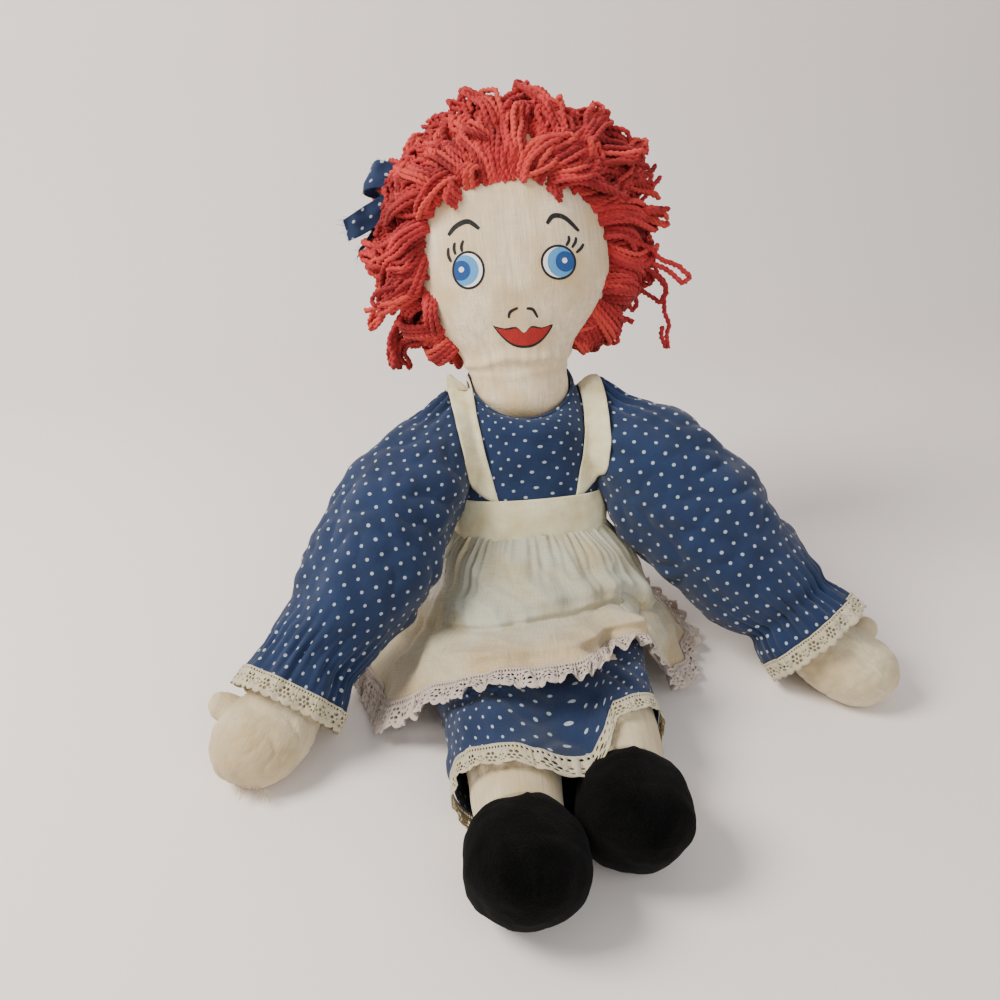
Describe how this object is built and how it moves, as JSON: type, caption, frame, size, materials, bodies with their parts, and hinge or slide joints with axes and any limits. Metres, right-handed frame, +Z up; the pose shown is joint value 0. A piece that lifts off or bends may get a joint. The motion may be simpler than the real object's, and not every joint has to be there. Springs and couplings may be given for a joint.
{
  "type": "rag doll",
  "caption": "Sitting cloth doll with yarn hair, a long dress and an apron; head, arms and legs turn about their sewn seams.",
  "frame": {"origin": "on the floor, under the hips, in the middle of the flat underside of the skirt that the doll sits on", "axes": "+Z up, -Y the way the doll faces, +X towards the doll's own left"},
  "size_m": [0.4322, 0.4347, 0.3515],
  "materials": {
    "muslin": "unbleached muslin, aged",
    "face_muslin": "muslin with a sewn and inked face, stained",
    "dress_cotton": "dark blue cotton printed with small pale dots",
    "eyelet_lace": "cream eyelet lace",
    "apron_lace": "gathered pinkish cream lace",
    "cream_voile": "sheer cream voile",
    "red_yarn": "two-ply red wool yarn",
    "blue_scrap": "the dress's dotted cotton with frayed edges",
    "black_felt": "matt black felt",
    "elastic": "flat braided elastic",
    "button": "small pale button"
  },
  "bodies": {
    "torso": {"torso": "muslin", "bodice": "dress_cotton", "neck_binding": "dress_cotton", "dress_skirt": "dress_cotton", "skirt_hem_lace": "eyelet_lace", "dress_placket": "dress_cotton", "dress_button_upper": "button", "dress_button_lower": "button", "apron_waistband": "cream_voile", "apron_button": "button", "apron_strap_left": "cream_voile", "apron_strap_right": "cream_voile", "apron_skirt": "cream_voile", "apron_hem_lace": "apron_lace"},
    "head": {"head": "face_muslin", "hair": "red_yarn", "hair_bow_knot": "blue_scrap", "hair_bow_loop": "blue_scrap", "hair_bow_tail": "blue_scrap"},
    "left_arm": {"left_arm": "muslin", "left_sleeve": "dress_cotton", "left_wrist_elastic": "elastic", "left_cuff_lace": "eyelet_lace"},
    "right_arm": {"right_arm": "muslin", "right_sleeve": "dress_cotton", "right_wrist_elastic": "elastic", "right_cuff_lace": "eyelet_lace"},
    "left_leg": {"left_leg": "muslin", "left_shoe": "black_felt"},
    "right_leg": {"right_leg": "muslin", "right_shoe": "black_felt"}
  },
  "joints": [
    {"name": "neck_nod", "type": "hinge", "parent": "torso", "child": "head", "pos_m": [-0.002, 0.04798, 0.17399], "axis": [0.9816, -0.1908, 0], "range_deg": [-12, 18]},
    {"name": "left_shoulder", "type": "hinge", "parent": "torso", "child": "left_arm", "pos_m": [0.0585, 0.045, 0.16001], "axis": [0, -1, 0], "range_deg": [-5, 90], "deforming": ["left_sleeve"]},
    {"name": "right_shoulder", "type": "hinge", "parent": "torso", "child": "right_arm", "pos_m": [-0.0585, 0.045, 0.16001], "axis": [0, 1, 0], "range_deg": [-5, 90], "deforming": ["right_sleeve"]},
    {"name": "left_hip", "type": "hinge", "parent": "torso", "child": "left_leg", "pos_m": [0.0275, -0.012, 0.03], "axis": [-1, 0, 0], "range_deg": [-70, 50], "deforming": ["dress_skirt", "skirt_hem_lace", "apron_skirt", "apron_hem_lace"]},
    {"name": "right_hip", "type": "hinge", "parent": "torso", "child": "right_leg", "pos_m": [-0.0315, -0.012, 0.03], "axis": [-1, 0, 0], "range_deg": [-70, 50], "deforming": ["dress_skirt", "skirt_hem_lace", "apron_skirt", "apron_hem_lace"]}
  ],
  "couplings": [
    {"joint": "right_hip", "follows": "left_hip", "ratio": 1}
  ]
}
